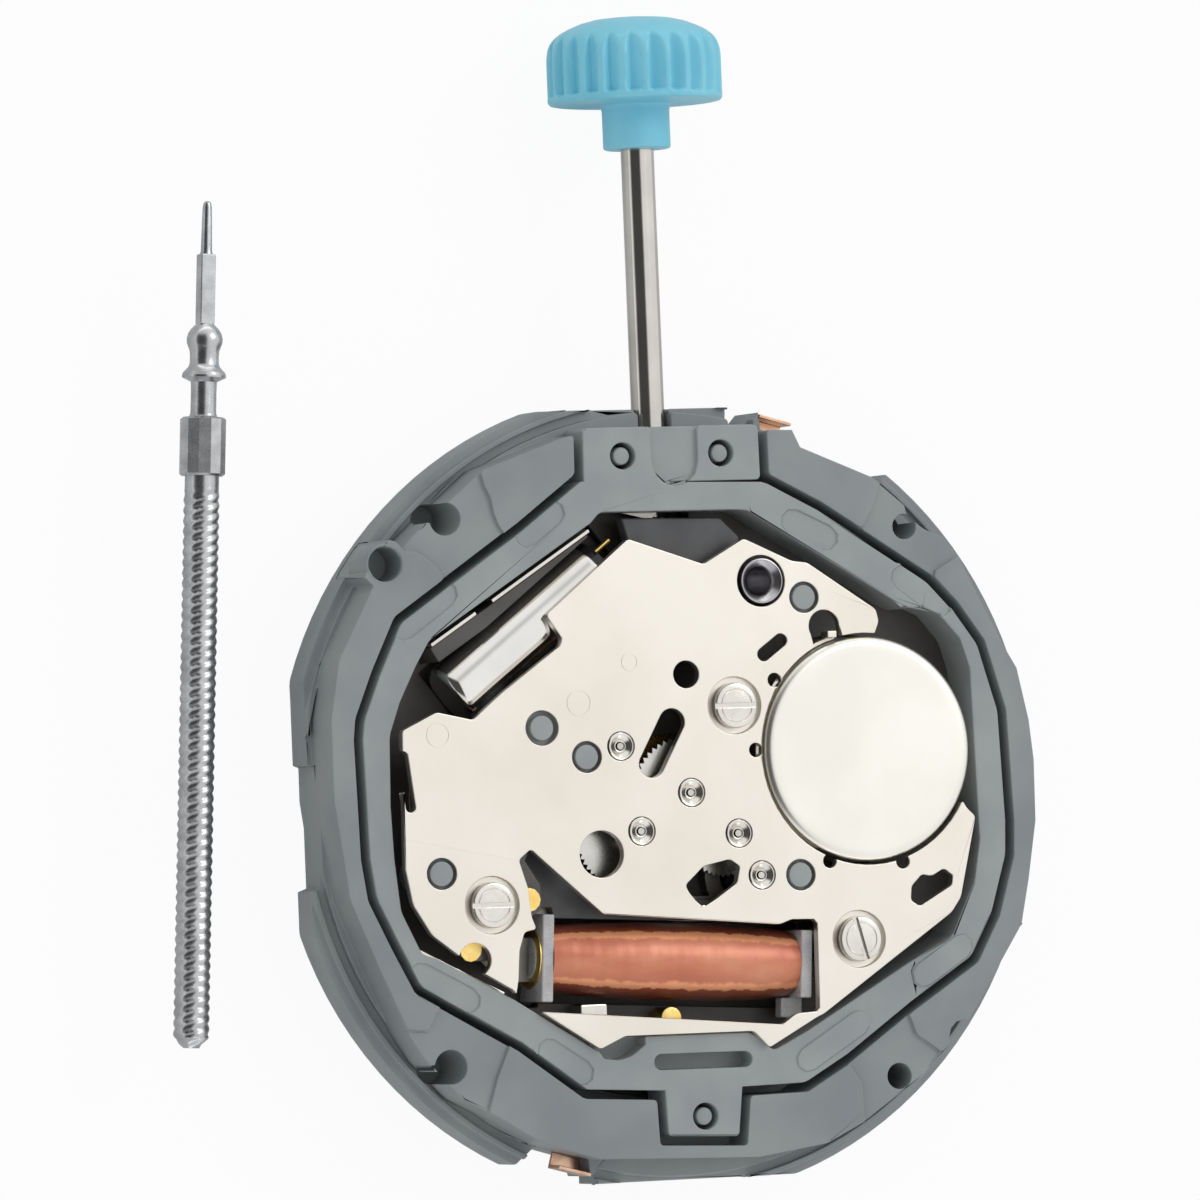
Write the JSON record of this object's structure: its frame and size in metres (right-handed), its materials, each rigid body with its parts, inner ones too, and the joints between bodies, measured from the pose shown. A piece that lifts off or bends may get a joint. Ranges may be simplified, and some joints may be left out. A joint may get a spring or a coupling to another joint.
{
  "type": "quartz watch movement",
  "caption": "Analogue quartz watch movement in a grey casing ring, with setting stem and handling knob, button cell, motor coil, crystal, gear train and a loose threaded spare stem.",
  "frame": {"origin": "on the hand axis, in the plane of the casing ring's face that the dial rests on", "axes": "+Z from the dial side towards the battery side, +Y along the setting stem towards the knob, +X towards the battery"},
  "size_m": [0.0276, 0.0351, 0.0056],
  "materials": {
    "ring_grey": "satin moulded plastic",
    "plate_dark": "satin moulded plastic",
    "nickel": "fine satin nickel plating",
    "steel": "polished",
    "cell_case": "satin stainless steel",
    "chrome_can": "bright plated",
    "brass_wheel": "satin gilt",
    "gold_contact": "bright gold plating",
    "copper_wire": "varnished copper wire",
    "copper_clip": "bright copper alloy",
    "bobbin_clear": "translucent plastic",
    "soft_iron": "annealed iron alloy",
    "circuit_green": "lacquered laminate",
    "magnet_grey": "sintered",
    "seal_clear": "moulded seal",
    "glass_header": "dark sealing glass",
    "knob_blue": "satin moulded plastic"
  },
  "bodies": {
    "movement": {"casing_ring": "ring_grey", "movement_frame": "ring_grey", "main_plate": "plate_dark", "cover_plate": "plate_dark", "bridge_plate": "nickel", "bridge_bearings": "nickel", "bridge_screws": "steel", "locating_posts": "ring_grey", "guide_tube": "nickel", "tab_pins": "ring_grey", "shield_strips": "nickel", "dial_clips": "copper_clip", "battery_insulator": "seal_clear", "negative_contact": "steel", "battery_clamp": "steel", "coil_winding": "copper_wire", "coil_bobbin": "bobbin_clear", "coil_core": "soft_iron", "coil_terminals": "gold_contact", "stator": "soft_iron", "motor_cover": "plate_dark", "setting_cover": "plate_dark", "circuit_board": "circuit_green", "circuit_spacer": "circuit_green", "timing_chip": "plate_dark", "contact_pads": "gold_contact", "crystal_can": "chrome_can", "crystal_header": "glass_header", "crystal_leads": "gold_contact", "spare_stem": "steel"},
    "battery": {"battery_can": "cell_case", "battery_gasket": "seal_clear", "battery_cap": "cell_case"},
    "rotor": {"rotor_magnet": "magnet_grey", "rotor_pinion": "steel"},
    "intermediate_wheel": {"fifth_wheel": "nickel", "fifth_pinion": "steel"},
    "seconds_wheel": {"seconds_wheel": "nickel", "seconds_arbor": "steel"},
    "third_wheel": {"third_wheel": "nickel", "third_pinion": "steel"},
    "centre_wheel": {"centre_wheel": "brass_wheel", "cannon_pinion": "steel"},
    "minute_wheel": {"minute_wheel": "brass_wheel", "minute_pinion": "steel"},
    "hour_wheel": {"hour_wheel": "brass_wheel"},
    "setting_idler": {"idle_wheel": "steel"},
    "setting_wheel": {"setting_wheel": "steel"},
    "clutch_yoke": {"clutch_yoke": "nickel"},
    "sliding_pinion": {"sliding_pinion": "steel"},
    "stem": {"setting_stem": "steel", "setting_knob": "knob_blue"},
    "setting_lever": {"setting_lever": "nickel"}
  },
  "joints": [
    {"name": "seconds_wheel_turn", "type": "hinge", "parent": "movement", "child": "seconds_wheel", "pos_m": [0, 0, 0.002], "axis": [0, 0, 1], "continuous": true},
    {"name": "intermediate_wheel_turn", "type": "hinge", "parent": "movement", "child": "intermediate_wheel", "pos_m": [0.0015, -0.00127, 0.002], "axis": [0, 0, 1], "continuous": true},
    {"name": "rotor_turn", "type": "hinge", "parent": "movement", "child": "rotor", "pos_m": [0.0022, -0.00255, 0.002], "axis": [0, 0, 1], "continuous": true},
    {"name": "third_wheel_turn", "type": "hinge", "parent": "movement", "child": "third_wheel", "pos_m": [-0.00167, -0.0011, 0.002], "axis": [0, 0, 1], "continuous": true},
    {"name": "centre_wheel_turn", "type": "hinge", "parent": "movement", "child": "centre_wheel", "pos_m": [0, 0, 0.00125], "axis": [0, 0, 1], "continuous": true},
    {"name": "minute_wheel_turn", "type": "hinge", "parent": "movement", "child": "minute_wheel", "pos_m": [-0.00224, 0.00146, 0.00042], "axis": [0, 0, 1], "continuous": true},
    {"name": "hour_wheel_turn", "type": "hinge", "parent": "movement", "child": "hour_wheel", "pos_m": [0, 0, 0.0002], "axis": [0, 0, 1], "continuous": true},
    {"name": "setting_idler_turn", "type": "hinge", "parent": "movement", "child": "setting_idler", "pos_m": [-0.00169, 0.00442, 0.00042], "axis": [0, 0, 1], "continuous": true},
    {"name": "setting_wheel_turn", "type": "hinge", "parent": "movement", "child": "setting_wheel", "pos_m": [0, 0.0055, 0.0003], "axis": [0, 0, 1], "continuous": true},
    {"name": "clutch_shift", "type": "slide", "parent": "movement", "child": "clutch_yoke", "axis": [0, -1, 0], "range_m": [0, 0.0003]},
    {"name": "crown_turn", "type": "hinge", "parent": "clutch_yoke", "child": "sliding_pinion", "pos_m": [0, 0.0073, 0.0009], "axis": [0, 1, 0], "continuous": true},
    {"name": "crown_pull", "type": "slide", "parent": "sliding_pinion", "child": "stem", "axis": [0, 1, 0], "range_m": [0, 0.0012]},
    {"name": "setting_lever_turn", "type": "hinge", "parent": "movement", "child": "setting_lever", "pos_m": [-0.00225, 0.00901, 0.00154], "axis": [0, 0, 1], "range_deg": [0, 27.78]},
    {"name": "battery_lift", "type": "slide", "parent": "movement", "child": "battery", "axis": [0, 0, 1], "range_m": [0, 0.004]}
  ],
  "couplings": [
    {"joint": "intermediate_wheel_turn", "follows": "seconds_wheel_turn", "ratio": -5},
    {"joint": "rotor_turn", "follows": "seconds_wheel_turn", "ratio": 30},
    {"joint": "third_wheel_turn", "follows": "seconds_wheel_turn", "ratio": -0.13333},
    {"joint": "centre_wheel_turn", "follows": "seconds_wheel_turn", "ratio": 0.016667},
    {"joint": "minute_wheel_turn", "follows": "seconds_wheel_turn", "ratio": -0.0055556},
    {"joint": "hour_wheel_turn", "follows": "seconds_wheel_turn", "ratio": 0.0013889},
    {"joint": "setting_idler_turn", "follows": "seconds_wheel_turn", "ratio": 0.011111},
    {"joint": "setting_wheel_turn", "follows": "seconds_wheel_turn", "ratio": -0.011111},
    {"joint": "clutch_shift", "follows": "crown_pull", "ratio": 0.25},
    {"joint": "setting_lever_turn", "follows": "crown_pull", "rad_per_m": 403.98}
  ]
}
